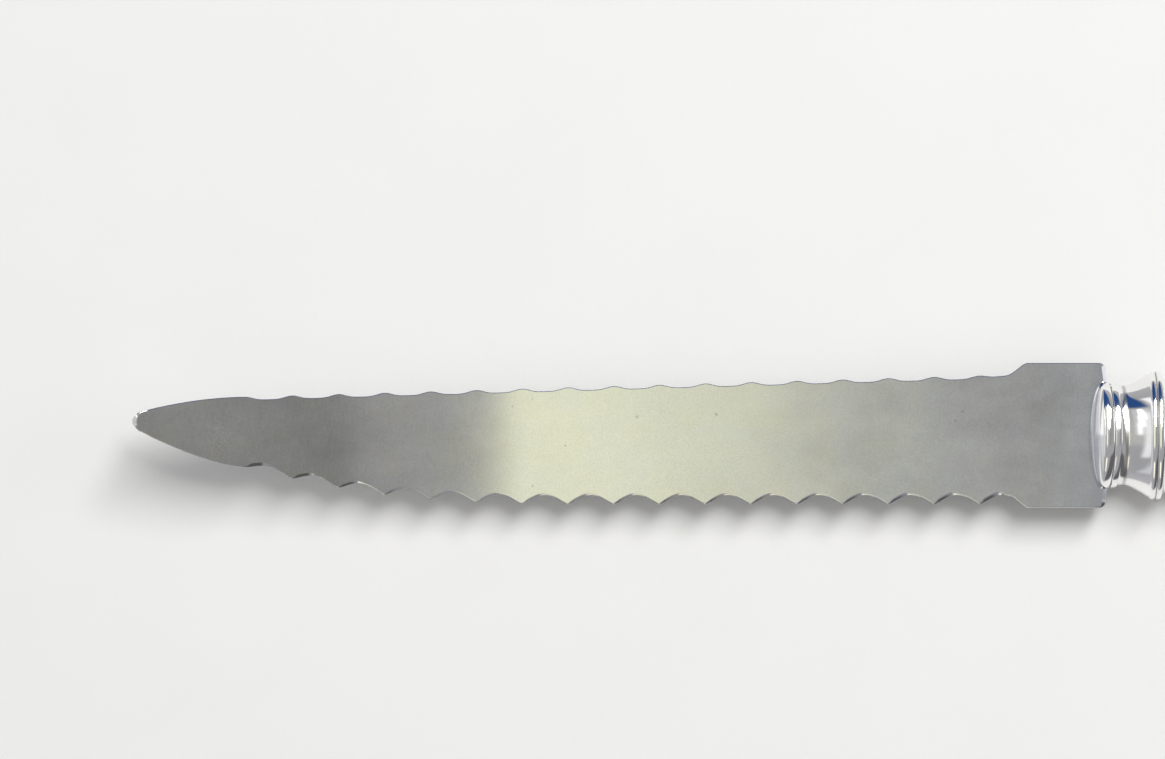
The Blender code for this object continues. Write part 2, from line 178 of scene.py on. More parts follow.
# How finely the pieces are divided.
NOSE_STEPS = 16
POINT_STEPS = 40
SCALLOP_STEPS = 24
SHOULDER_STEPS = 16
CORNER_STEPS = 10
TANG_STEPS = 60
TOP_COLUMNS = 26
UNDER_COLUMNS = 10
BREAK_STEPS = 4
FIRST_COLUMN = 0.008
ARC_STEPS = 16
CAP_DOME_STEPS = 32
BUTT_DOME_STEPS = 48
REED_STEPS = 12
FLARE_STEPS = 24
BODY_STEPS = 60
HALF_SIDES = 96
BLADE_CREASE = math.radians(25)
HANDLE_CREASE = math.radians(35)
LEAST_STEP = 1e-9

# Values that follow from the ones above.
SERRATED_END = BLADE_LENGTH - POINT_LENGTH
FIRST_VALLEY = SHOULDER_LENGTH + SHOULDER_RISE
SCALLOP_PITCH = (SERRATED_END - FIRST_VALLEY) / (SCALLOP_COUNT - 0.5)
BEND_RADIUS = BEND_LENGTH / math.sin(BEND_ANGLE)
REEDS_LENGTH = REED_COUNT * REED_LENGTH
CAP_JOINT = DOME_LENGTH + BEAD_BACK_LENGTH
FILLET_RISE = FILLET_LENGTH / 5
FILLET_END = CAP_JOINT + FILLET_LENGTH
COLLAR_REEDS_START = FILLET_END + WAIST_FALL_LENGTH + FLARE_LENGTH
NECK_START = COLLAR_REEDS_START + REEDS_LENGTH + NECK_COVE_LENGTH
BUTT_DOME_START = HANDLE_LENGTH - BUTT_DOME_LENGTH
BUTT_REEDS_START = BUTT_DOME_START - BUTT_COVE_LENGTH - REEDS_LENGTH

# Photograph: its size in pixels, where the knife lies in it, and its scale.
IMAGE_WIDTH = 1165
IMAGE_HEIGHT = 759
SHOULDER_PIXEL = 1105.2
AXIS_PIXEL = 435.3
PIXEL_SIZE = 0.11 * MM
CAMERA_DISTANCE = 0.6
SENSOR_WIDTH = 36.0


def eased(share):
    """0 to 1 with a level start and end."""
    share = min(1.0, max(0.0, share))
    return share * share * (3.0 - 2.0 * share)


def scallop_share(along):
    """How far a place lies across its scallop, 0 to 1, counted from the handle's side."""
    return math.modf(max(0.0, along - FIRST_VALLEY) / SCALLOP_PITCH + 0.5)[0]


def risen(along, half):
    """Half width of an edge with its rise to the shoulder, which takes the place of half a scallop."""
    share = eased((FIRST_VALLEY - along) / SHOULDER_RISE) ** SHOULDER_RISE_POWER
    return half + (HALF_SHOULDER - half) * share


def serrated_edges(along):
    """(+Y edge, -Y edge) of the blade between the shoulder and the last scallop's end."""
    share = (along - FIRST_VALLEY) / (SERRATED_END - FIRST_VALLEY)
    arch = max(0.0, math.sin(math.pi * scallop_share(along)))
    shallow_line = SHALLOW_AT_SHOULDER + (SHALLOW_AT_POINT - SHALLOW_AT_SHOULDER) * share
    shallow_depth = SHALLOW_DEPTH * eased((along - SHOULDER_LENGTH) / SHALLOW_START)
    shallow = shallow_line - shallow_depth * eased(arch**SHALLOW_POWER)
    belly = max(0.0, (along - SERRATED_END) / BELLY_LENGTH + 1.0)
    deep_line = DEEP_AT_SHOULDER - (DEEP_AT_SHOULDER - DEEP_AT_POINT) * belly**BELLY_POWER
    deep_depth = DEEP_DEPTH * (1.0 - DEEP_FADE * belly**2)
    deep = deep_line - deep_depth * arch**DEEP_POWER
    return risen(along, shallow), -risen(along, deep)


def point_edges(along):
    """(+Y edge, -Y edge) of the plain point, before its nose is rounded."""
    share = (along - SERRATED_END) / POINT_LENGTH
    shallow = SHALLOW_AT_POINT - SHALLOW_POINT_DROP * share**SHALLOW_POINT_POWER
    deep = -DEEP_AT_POINT + DEEP_POINT_RISE * share**DEEP_POINT_POWER
    return shallow, deep


def blade_lift(along):
    """Height of the blade's middle surface above the knife's axis."""
    run = along - BEND_START
    if run <= 0.0:
        return 0.0
    if run <= BEND_LENGTH:
        return BEND_RADIUS - math.sqrt(BEND_RADIUS**2 - run**2)
    return BEND_RADIUS * (1.0 - math.cos(BEND_ANGLE)) + (run - BEND_LENGTH) * math.tan(BEND_ANGLE)


def tang_half_width(share):
    """Half width of the tang, which tapers and has notches that key it into the cement."""
    half = (TANG_ROOT_WIDTH + (TANG_END_WIDTH - TANG_ROOT_WIDTH) * share) / 2
    spacing = 1.0 / TANG_NOTCH_COUNT
    from_notch = (math.modf(share / spacing)[0] - 0.5) * spacing * TANG_LENGTH
    if abs(from_notch) < TANG_NOTCH_LENGTH / 2:
        half -= TANG_NOTCH_DEPTH * math.cos(math.pi * from_notch / TANG_NOTCH_LENGTH) ** 2
    return half


def back_outline():
    """(x, half width) of the blade's back: the shoulder, its round corners, the bulged edge, the tang."""
    points = []
    for i in range(1, SHOULDER_STEPS):
        points.append((SHOULDER_LENGTH * (i / SHOULDER_STEPS - 1.0) - SHOULDER_CORNER, HALF_SHOULDER))
    for i in range(CORNER_STEPS):
        turn = math.pi / 2 * i / CORNER_STEPS
        across = HALF_SHOULDER - SHOULDER_CORNER * (1.0 - math.cos(turn))
        points.append((SHOULDER_CORNER * (math.sin(turn) - 1.0), across))
    first_half = HALF_SHOULDER - SHOULDER_CORNER
    for i in range(CORNER_STEPS + 1):
        across = first_half + (TANG_ROOT_WIDTH / 2 - first_half) * i / CORNER_STEPS
        points.append((BACK_BULGE * (1.0 - (across / first_half) ** 2), across))
    tang_start = points[-1][0]
    for i in range(1, TANG_STEPS + 1):
        share = i / TANG_STEPS
        points.append((tang_start + TANG_LENGTH * share, tang_half_width(share)))
    return [(x, half) for x, half in points if x > -SHOULDER_LENGTH]


def blade_outline():
    """(x, +Y edge, -Y edge) of the blade's outline, from its nose to the end of its tang."""
    rows = []
    nose_middle = sum(point_edges(BLADE_LENGTH - NOSE_LENGTH)) / 2
    for i in range(NOSE_STEPS):
        turn = NOSE_START + (math.pi / 2 - NOSE_START) * i / NOSE_STEPS
        along = BLADE_LENGTH - NOSE_LENGTH * (1.0 - math.cos(turn) / math.cos(NOSE_START))
        edges = [nose_middle + (y - nose_middle) * math.sin(turn) for y in point_edges(along)]
        rows.append((-along, *edges))
    for i in range(POINT_STEPS):
        along = BLADE_LENGTH - NOSE_LENGTH - (POINT_LENGTH - NOSE_LENGTH) * i / POINT_STEPS
        rows.append((-along, *point_edges(along)))
    rows.append((-SERRATED_END, SHALLOW_AT_POINT, -DEEP_AT_POINT))
    steps = SCALLOP_COUNT * SCALLOP_STEPS - SCALLOP_STEPS // 2
    for i in range(1, steps + 1):
        along = SERRATED_END - (SERRATED_END - FIRST_VALLEY) * i / steps
        rows.append((-along, *serrated_edges(along)))
    for i in range(1, SCALLOP_STEPS + 1):
        along = FIRST_VALLEY - SHOULDER_RISE * i / SCALLOP_STEPS
        rows.append((-along, *serrated_edges(along)))
    rows += [(x, half, -half) for x, half in back_outline()]
    return rows


def outward(edge):
    """Outward directions in plan of an edge on the +Y side, given as (x, y) points from nose to tang."""
    directions = []
    for i in range(len(edge)):
        before, after = edge[max(0, i - 1)], edge[min(len(edge) - 1, i + 1)]
        run, rise = after[0] - before[0], after[1] - before[1]
        length = math.hypot(run, rise)
        directions.append((-rise / length, run / length))
    return directions


def sharpened(along):
    """1 where the blade has a cutting edge, 0 on its shoulder, its tang and its blunt nose."""
    return eased((along - SHOULDER_LENGTH) / SHOULDER_RISE) * eased((BLADE_LENGTH - along) / BLUNT_LENGTH)


def nose_share(along):
    """1 at the very tip, 0 where the bevel round the nose ends."""
    return max(0.0, 1.0 - (BLADE_LENGTH - along) / NOSE_BREAK_LENGTH)


def break_width(along, deep_side):
    """Width of the break along an edge of the upper face."""
    width = EDGE_BREAK
    if along < SHOULDER_CORNER:
        width += (BACK_BEVEL - EDGE_BREAK) * eased((SHOULDER_CORNER - along) / SHOULDER_CORNER)
    if deep_side and FIRST_VALLEY < along < SERRATED_END:
        share = scallop_share(along)
        rise = eased((share - FACET_START) / (FACET_FULL - FACET_START))
        ends = (2.0 * (along - FIRST_VALLEY) / (SERRATED_END - FIRST_VALLEY) - 1.0) ** 2
        facet = FACET_WIDTH * (FACET_MIDDLE + (1.0 - FACET_MIDDLE) * ends)
        width += facet * rise * eased((1.0 - share) / FACET_END)
    return max(width, NOSE_BREAK * nose_share(along) ** 2)


def steepness_at(points, place):
    """Slope at a place, eased between three (place, slope) points."""
    near, middle, far = points
    (start, first), (end, last) = (near, middle) if place < middle[0] else (middle, far)
    return first + (last - first) * eased((place - start) / (end - start))


def break_steepness(along, deep_side):
    """Slope of the break along an edge of the upper face, of its facets and of the bevel round its nose."""
    nose = nose_share(along)
    if nose > 0.0:
        return steepness_at(NOSE_STEEPNESS, nose)
    if deep_side and along >= SHOULDER_CORNER:
        return steepness_at(FACET_STEEPNESS, along)
    return BREAK_STEEPNESS


def face_wave(x, y):
    """Slight waviness that grinding leaves in the broad faces, and a slight rise next to the handle."""
    turn = 2 * math.pi / FACE_WAVE_LENGTH
    wave = FACE_WAVE * sum(size * math.sin(turn * (by_x * x + by_y * y)) for size, by_x, by_y in FACE_WAVES)
    behind = x - BACK_RISE_START - BACK_RISE_SLANT * y
    if x > 0.0 or behind < 0.0:
        return wave
    return wave + BACK_RISE * behind * eased(behind / BACK_RISE_EASE) * eased(-x / BACK_RISE_EASE)


def edge_profile(along, deep_side):
    """(inset, height) round one edge of the blade, from its upper face down to its lower one."""
    face = BLADE_THICKNESS / 2
    width = break_width(along, deep_side)
    drop = width * break_steepness(along, deep_side)
    points = []
    for k in range(BREAK_STEPS + 1):
        share = k / BREAK_STEPS
        points.append((width * (1.0 - share), face - drop * share))
    share = sharpened(along)
    edge = PLAIN_EDGE + (CUTTING_EDGE - PLAIN_EDGE) * share
    under = EDGE_BREAK + (CUTTING_BEVEL - EDGE_BREAK) * share
    points.append((0.0, max(-face + EDGE_BREAK, face - drop - edge)))
    points.append((under, -face))
    return points


def column_shares(columns):
    """Shares across a broad face, with a narrow column along each edge."""
    middle = [i / columns for i in range(1, columns)]
    return [0.0, FIRST_COLUMN] + middle + [1.0 - FIRST_COLUMN, 1.0]


def blade_rings():
    """Cross-sections of the blade, each a closed loop over the upper face and back under the lower one."""
    outline = blade_outline()
    shallow_out = outward([(x, shallow) for x, shallow, deep in outline])
    deep_out = outward([(x, -deep) for x, shallow, deep in outline])
    top_shares, under_shares = column_shares(TOP_COLUMNS), column_shares(UNDER_COLUMNS)
    rings = []
    for (x, shallow, deep), (out_x, out_y), (deep_x, deep_y) in zip(outline, shallow_out, deep_out):
        plus = [(x - out_x * inset, shallow - out_y * inset, z) for inset, z in edge_profile(-x, False)]
        minus = [(x - deep_x * inset, deep + deep_y * inset, z) for inset, z in edge_profile(-x, True)]
        ring = [lerp(plus[0], minus[0], share) for share in top_shares]
        ring += minus[1:-1]
        ring += [lerp(minus[-1], plus[-1], share) for share in under_shares]
        ring += plus[-2:0:-1]
        rings.append([(px, py, pz + blade_lift(-px) + face_wave(px, py)) for px, py, pz in ring])
    return rings


def lerp(a, b, share):
    """A point between two."""
    return tuple(p + (q - p) * share for p, q in zip(a, b))


def arc_points(start, length, from_half, to_half, bulging):
    """(along, half width) on a quarter ellipse between two half widths, without its first point."""
    points = []
    for i in range(1, ARC_STEPS + 1):
        turn = math.pi / 2 * i / ARC_STEPS
        share = math.sin(turn) if bulging else 1.0 - math.cos(turn)
        drop = 1.0 - math.cos(turn) if bulging else math.sin(turn)
        points.append((start + length * share, from_half + (to_half - from_half) * drop))
    return points


def reed_points(start, base_half):
    """(along, half width) over one group of raised reeds."""
    points = []
    for reed in range(REED_COUNT):
        for i in range(REED_STEPS):
            share = i / REED_STEPS
            height = REED_HEIGHT * math.sqrt(math.sin(math.pi * share))
            points.append((start + REED_LENGTH * (reed + share), base_half + height))
    points.append((start + REEDS_LENGTH, base_half))
    return points


def cap_profile():
    """(along, half width) of the front cap: its dome and the back of its bead."""
    points = [(0.0, CROWN_WIDTH / 2)]
    first_turn = math.asin(CROWN_WIDTH / BEAD_WIDTH)
    for i in range(1, CAP_DOME_STEPS + 1):
        turn = first_turn + (math.pi / 2 - first_turn) * i / CAP_DOME_STEPS
        points.append((DOME_LENGTH * (1.0 - math.cos(turn)), BEAD_WIDTH / 2 * math.sin(turn)))
    points += arc_points(DOME_LENGTH, BEAD_BACK_LENGTH, BEAD_WIDTH / 2, GROOVE_WIDTH / 2, True)
    return points


def shell_profile():
    """(along, half width) of the handle behind the cap: fillet, waist, flare, reeds, body, reeds, butt."""
    collar_base = COLLAR_REED_WIDTH / 2 - REED_HEIGHT
    butt_base = BUTT_REED_WIDTH / 2 - REED_HEIGHT
    crest, crest_half = CAP_JOINT + FILLET_RISE, FILLET_WIDTH / 2
    points = [(CAP_JOINT, GROOVE_WIDTH / 2)]
    points += arc_points(CAP_JOINT, FILLET_RISE, GROOVE_WIDTH / 2, crest_half, False)
    points += arc_points(crest, FILLET_LENGTH - FILLET_RISE, crest_half, FILLET_END_WIDTH / 2, True)
    points += arc_points(FILLET_END, WAIST_FALL_LENGTH, FILLET_END_WIDTH / 2, WAIST_WIDTH / 2, False)
    flare_start = FILLET_END + WAIST_FALL_LENGTH
    for i in range(1, FLARE_STEPS):
        share = i / FLARE_STEPS
        half = WAIST_WIDTH / 2 + (collar_base - WAIST_WIDTH / 2) * share**FLARE_POWER
        points.append((flare_start + FLARE_LENGTH * share, half))
    points += reed_points(COLLAR_REEDS_START, collar_base)
    cove_start = COLLAR_REEDS_START + REEDS_LENGTH
    points += arc_points(cove_start, NECK_COVE_LENGTH, collar_base, NECK_WIDTH / 2, False)
    for i in range(1, BODY_STEPS):
        share = i / BODY_STEPS
        half = NECK_WIDTH / 2 + (butt_base - NECK_WIDTH / 2) * eased(share) ** BODY_SWELL_POWER
        points.append((NECK_START + (BUTT_REEDS_START - NECK_START) * share, half))
    points += reed_points(BUTT_REEDS_START, butt_base)
    butt_cove = BUTT_DOME_START - BUTT_COVE_LENGTH
    points += arc_points(butt_cove, BUTT_COVE_LENGTH, butt_base, BUTT_DOME_WIDTH / 2, False)
    for i in range(1, BUTT_DOME_STEPS):
        turn = math.pi / 2 * i / BUTT_DOME_STEPS
        half = BUTT_DOME_WIDTH / 2 * math.cos(turn)
        points.append((BUTT_DOME_START + BUTT_DOME_LENGTH * math.sin(turn), max(half, BUTT_END_WIDTH / 2)))
    return points


def flatness(along):
    """Thickness over width: both groups of reeds are as thick, so that the handle lies level on them."""
    collar_reeds_end = COLLAR_REEDS_START + REEDS_LENGTH
    share = (along - collar_reeds_end) / (BUTT_REEDS_START - collar_reeds_end)
    share = min(1.0, max(0.0, share))
    at_collar = HANDLE_THICKNESS / COLLAR_REED_WIDTH
    at_butt = HANDLE_THICKNESS / BUTT_REED_WIDTH
    return at_collar + (at_butt - at_collar) * share


def lean(along, z):
    """How far a place on the collar is set back: the bead and fillet swing back over the broad faces."""
    fade = min(1.0, max(0.0, (COLLAR_REEDS_START - along) / (COLLAR_REEDS_START - FILLET_END)))
    bead_half_thickness = BEAD_WIDTH / 2 * flatness(DOME_LENGTH)
    return BEAD_LEAN * fade * (z / bead_half_thickness) ** 2


def recess(profile):
    """(along, depth 0 to 1) of a profile's places that lie in a groove or hollow, where tarnish stays."""
    near = REED_LENGTH
    depths = []
    for along, half in profile:
        before = max(h for a, h in profile if along - near <= a <= along)
        after = max(h for a, h in profile if along <= a <= along + near)
        depths.append((along, eased((min(before, after) - half) / REED_HEIGHT)))
    return depths


def value_at(pairs, along):
    """A value between (along, value) pairs in rising order."""
    for (first, low), (second, high) in zip(pairs, pairs[1:]):
        if along <= second:
            return low + (high - low) * max(0.0, along - first) / max(second - first, LEAST_STEP)
    return pairs[-1][1]


def mesh_object(name, points, faces, crease, place):
    """A smooth-shaded object from points about the knife's axis, with edges sharp above a crease angle."""
    mesh = bpy.data.meshes.new(name)
    mesh.from_pydata([Vector(point) + place for point in points], [], faces)
    form = bmesh.new()
    form.from_mesh(mesh)
    bmesh.ops.recalc_face_normals(form, faces=form.faces)
    form.to_mesh(mesh)
    form.free()
    mesh.shade_smooth()
    mesh.set_sharp_from_angle(angle=crease)
    obj = bpy.data.objects.new(name, mesh)
    bpy.context.scene.collection.objects.link(obj)
    return obj


def loft_faces(rows, columns):
    """Faces of a closed loft whose rings are numbered one after another, with a cap at each end."""
    faces = []
    for row in range(rows - 1):
        for i in range(columns):
            j = (i + 1) % columns
            first, second = row * columns, (row + 1) * columns
            faces.append((first + i, first + j, second + j, second + i))
    faces.append(tuple(range(columns)))
    faces.append(tuple(range((rows - 1) * columns, rows * columns)))
    return faces


def loft_object(name, rings, crease, place):
    """A closed object through rings of as many points each."""
    points = [point for ring in rings for point in ring]
    return mesh_object(name, points, loft_faces(len(rings), len(rings[0])), crease, place)


def oval_point(along, half, turn, seam=0.0):
    """A point of the handle at an angle round its oval section, which can start a gap above the seam."""
    half_thickness = half * flatness(along)
    z = math.copysign(seam, math.sin(turn)) + (half_thickness - seam) * math.sin(turn)
    return (along - SEAT_DEPTH + lean(along, z), half * math.cos(turn), z)


def sheet_inside(along, half, low, high):
    """(along, half width) on the inner side of the handle's sheet metal."""
    return min(max(along, low), high), max(half - SHEET_THICKNESS, LEAST_INSIDE)


def build_blade(place):
    """The blade with its tang, one closed loft."""
    return loft_object("scalloped_blade", blade_rings(), BLADE_CREASE, place)


def slot_rings():
    """The space of the blade's back and tang, with clearance all round."""
    half = BLADE_THICKNESS / 2 + SLOT_CLEARANCE
    rings = []
    for x, across in [(-SHOULDER_LENGTH, HALF_SHOULDER)] + back_outline():
        side = across + SLOT_CLEARANCE
        corners = ((side, half), (-side, half), (-side, -half), (side, -half))
        rings.append([(x + SLOT_CLEARANCE, y, z) for y, z in corners])
    return rings


def build_cap(place):
    """The domed cap in front of the handle, hollow behind, with the slot that the blade comes out of."""
    profile = cap_profile()
    inside = [sheet_inside(along, half, SHEET_THICKNESS, CAP_JOINT) for along, half in profile]
    sides = 2 * HALF_SIDES
    turns = [2 * math.pi * i / sides for i in range(sides)]
    rings = [[oval_point(along, half, turn) for turn in turns] for along, half in profile + inside[::-1]]
    cap = loft_object("domed_cap", rings, HANDLE_CREASE, place)
    cutter = loft_object("slot_cutter", slot_rings(), HANDLE_CREASE, place)
    cut = cap.modifiers.new("slot", "BOOLEAN")
    cut.operation = "DIFFERENCE"
    cut.solver = "EXACT"
    cut.object = cutter
    graph = bpy.context.evaluated_depsgraph_get()
    mesh = bpy.data.meshes.new_from_object(cap.evaluated_get(graph))
    cap.modifiers.clear()
    cap.data = mesh
    mesh.shade_smooth()
    mesh.set_sharp_from_angle(angle=HANDLE_CREASE)
    bpy.data.objects.remove(cutter)
    return cap


def build_half(name, side, place):
    """One half of the handle, a pressed shell from the seam up (side 1) or down (side -1)."""
    profile = shell_profile()
    profile[0] = (CAP_JOINT + JOINT_GAP, profile[0][1])
    end = HANDLE_LENGTH - SHEET_THICKNESS
    inside = [sheet_inside(along, half, 0.0, end) for along, half in profile]
    turns = [side * math.pi * i / HALF_SIDES for i in range(HALF_SIDES + 1)]
    rows, columns = len(profile), len(turns)
    points = []
    for along, half in profile + inside:
        for i, turn in enumerate(turns):
            x, y, z = oval_point(along, half, turn, SEAM_GAP)
            points.append((x, y, side * SEAM_GAP if i in (0, HALF_SIDES) else z))
    outer = [[row * columns + i for i in range(columns)] for row in range(rows)]
    inner = [[(rows + row) * columns + i for i in range(columns)] for row in range(rows)]
    faces = []
    for a, b in zip(outer, outer[1:]):
        faces += [(a[i], a[i + 1], b[i + 1], b[i]) for i in range(HALF_SIDES)]
    for a, b in zip(inner, inner[1:]):
        faces += [(a[i], b[i], b[i + 1], a[i + 1]) for i in range(HALF_SIDES)]
    for row in range(rows - 1):
        for i in (0, HALF_SIDES):
            faces.append((outer[row][i], outer[row + 1][i], inner[row + 1][i], inner[row][i]))
    faces += [(outer[0][i], inner[0][i], inner[0][i + 1], outer[0][i + 1]) for i in range(HALF_SIDES)]
    faces += [tuple(outer[-1]), tuple(inner[-1])]
    faces.append((outer[-1][0], outer[-1][-1], inner[-1][-1], inner[-1][0]))
    return mesh_object(name, points, faces, HANDLE_CREASE, place)


def build_solder(place):
    """The hairline of solder in the seam, down one side of the handle, round the butt and back."""
    profile = shell_profile()
    end = HANDLE_LENGTH - SHEET_THICKNESS
    one_side = []
    for along, half in profile:
        inner_along, inner_half = sheet_inside(along, half, CAP_JOINT, end)
        one_side.append((along - SEAT_DEPTH, half + SOLDER_PROUD, inner_along - SEAT_DEPTH, inner_half))
    path = one_side + [(x, -y, inner_x, -inner_y) for x, y, inner_x, inner_y in one_side[::-1]]
    rings = []
    for x, y, inner_x, inner_y in path:
        corners = ((x, y, SOLDER_HALF), (inner_x, inner_y, SOLDER_HALF))
        rings.append([*corners, *[(cx, cy, -cz) for cx, cy, cz in corners[::-1]]])
    return loft_object("seam_line", rings, HANDLE_CREASE, place)


def mark_recesses(obj, profile, place):
    """Stores on each point of a silver piece how deep it lies in its mouldings."""
    depths = recess(profile)
    marks = obj.data.attributes.new("recess", "FLOAT", "POINT")
    for vertex, mark in zip(obj.data.vertices, marks.data):
        along = vertex.co.x - place.x + SEAT_DEPTH
        along -= lean(along, vertex.co.z - place.z)
        mark.value = value_at(depths, along)


def add_node(tree, kind, inputs=None, **settings):
    """A new node. Inputs are values or other nodes' outputs, by the socket's name or number."""
    made = tree.nodes.new(kind)
    for key, value in settings.items():
        setattr(made, key, value)
    for key, value in (inputs or {}).items():
        if isinstance(value, bpy.types.NodeSocket):
            tree.links.new(value, made.inputs[key])
        else:
            made.inputs[key].default_value = value
    return made


def calculate(tree, operation, first, second=0.0):
    """The result of an operation on one or two values."""
    return add_node(tree, "ShaderNodeMath", {0: first, 1: second}, operation=operation).outputs[0]


def plus(tree, first, second):
    return calculate(tree, "ADD", first, second)


def minus(tree, first, second):
    return calculate(tree, "SUBTRACT", first, second)


def times(tree, first, second):
    return calculate(tree, "MULTIPLY", first, second)


def rescale(tree, value, from_low, from_high, to_low=0.0, to_high=1.0, smooth=True):
    """A value's range changed to another one, held at its ends."""
    ranges = {"Value": value, 1: from_low, 2: from_high, 3: to_low, 4: to_high}
    kind = "SMOOTHSTEP" if smooth else "LINEAR"
    return add_node(tree, "ShaderNodeMapRange", ranges, interpolation_type=kind).outputs[0]


def blend(tree, factor, first, second):
    """A colour between two."""
    mix = add_node(tree, "ShaderNodeMix", {0: factor, 6: first, 7: second}, data_type="RGBA")
    return mix.outputs[2]


def grain(tree, place, scale, detail):
    """Noise whose features per metre along X, Y and Z are given, mostly 0.3 to 0.7 in value."""
    stretched = add_node(tree, "ShaderNodeVectorMath", {0: place, 1: scale}, operation="MULTIPLY")
    inputs = {"Vector": stretched.outputs[0], "Detail": detail, "Scale": 1.0}
    return add_node(tree, "ShaderNodeTexNoise", inputs).outputs[0]


def set_bump(tree, shader, height, strength, depth):
    """Fine relief of a finish."""
    bump = add_node(tree, "ShaderNodeBump", {"Height": height, "Strength": strength, "Distance": depth})
    tree.links.new(bump.outputs[0], shader.inputs["Normal"])


def new_material(name):
    """(material, node tree, principled shader, coordinates in metres)"""
    material = bpy.data.materials.new(name)
    material.use_nodes = True
    tree = material.node_tree
    place = add_node(tree, "ShaderNodeTexCoord").outputs["Object"]
    return material, tree, tree.nodes["Principled BSDF"], place


# Middle, and usual least and greatest value, of a layer of noise.
NOISE_MIDDLE = 0.5
NOISE_RANGE = (0.3, 0.7)

# Steel: its layers of noise, in features per metre along X, Y and Z.
STEEL_LINES = (6500.0, 700.0, 700.0)
STEEL_CLOUDS = (130.0, 190.0, 190.0)
STEEL_MOTTLE = (600.0, 700.0, 700.0)
STEEL_SPECKLE = (4500.0, 4000.0, 4000.0)
STEEL_TINTS = (240.0, 300.0, 300.0)

# Where the steel's front and back parts start to look different and where they fully do, along X.
STEEL_FRONT = (-62.0 * MM, -85.0 * MM)
STEEL_BACK = (-41.0 * MM, -10.0 * MM)

# How far each layer changes the steel's tone, which runs from -TONE_REACH to TONE_REACH. The mottling has one
# value midway and one at both ends of the blade. Painted shade darkens the blade's back part, and the slant,
# per metre across the blade's back part, is painted shade that darkens it towards its +Y edge.
TONE_REACH = 0.7
LINES_TONE = 0.3
CLOUDS_TONE = 0.42
SPECKLE_TONE = 0.55
MOTTLE_TONE = (0.2, 0.42)
BACK_PAINTED_SHADE = 0.26
BACK_PAINTED_SHADE_SLANT = 12.0

# Darkest and lightest colours of the steel where it is cool, where it is warm, and of the painted bluish
# reflection next to the handle. Then the least and greatest share of the warm ones, and where along X the
# painted reflection starts and is full.
COOL_STEEL = ((0.465, 0.47, 0.484, 1), (0.82, 0.83, 0.854, 1))
WARM_STEEL = ((0.48, 0.475, 0.445, 1), (0.84, 0.835, 0.785, 1))
PAINTED_BLUE_REFLECTION_STEEL = ((0.46, 0.48, 0.52, 1), (0.82, 0.85, 0.91, 1))
STEEL_WARMTH = (0.38, 1.0)
BACK_COOLING = 0.6
BLUE_START = (-4.0 * MM, 2.0 * MM)
BLUE_RAGGEDNESS = 6.0 * MM
BLUE_SHARE = 0.7

STEEL_ROUGHNESS = 0.065
LINES_ROUGHNESS = 0.04
CLOUDS_ROUGHNESS = 0.06
STEEL_BUMP = 0.2
STEEL_BUMP_DEPTH = 0.0006 * MM

# Tiny dark pits in the blade's face: (x, y) about the knife's axis and radius. Their edges and raggedness are
# in radii.
PITS = (
    (-63.0 * MM, -5.6 * MM, 0.16 * MM),
    (-63.0 * MM, 4.0 * MM, 0.13 * MM),
    (-59.4 * MM, -1.15 * MM, 0.16 * MM),
    (-51.5 * MM, 2.05 * MM, 0.24 * MM),
    (-42.8 * MM, 2.3 * MM, 0.22 * MM),
    (-65.2 * MM, 3.15 * MM, 0.14 * MM),
    (-69.9 * MM, -0.8 * MM, 0.14 * MM),
    (-15.7 * MM, 2.6 * MM, 0.16 * MM),
    (-16.5 * MM, 1.6 * MM, 0.13 * MM),
)
PIT_INNER = 0.6
PIT_OUTER = 1.7
PIT_RAGGEDNESS = 0.9
PIT_DARKNESS = 0.38
PIT_COLOUR = (0.16, 0.15, 0.13, 1)

# Marks of a polishing wheel behind the tip: middle about the knife's axis, distances from it between which
# they fade, where they fade on the handle's side, features per metre outwards and per radian round.
SWIRL_X = -95.6 * MM
SWIRL_Y = 0.2 * MM
SWIRL_FADE = (1.5 * MM, 5.0 * MM)
SWIRL_SIDE = (2.0 * MM, -1.0 * MM)
SWIRL_GRAIN = (4500.0, 5.0, 0.0)


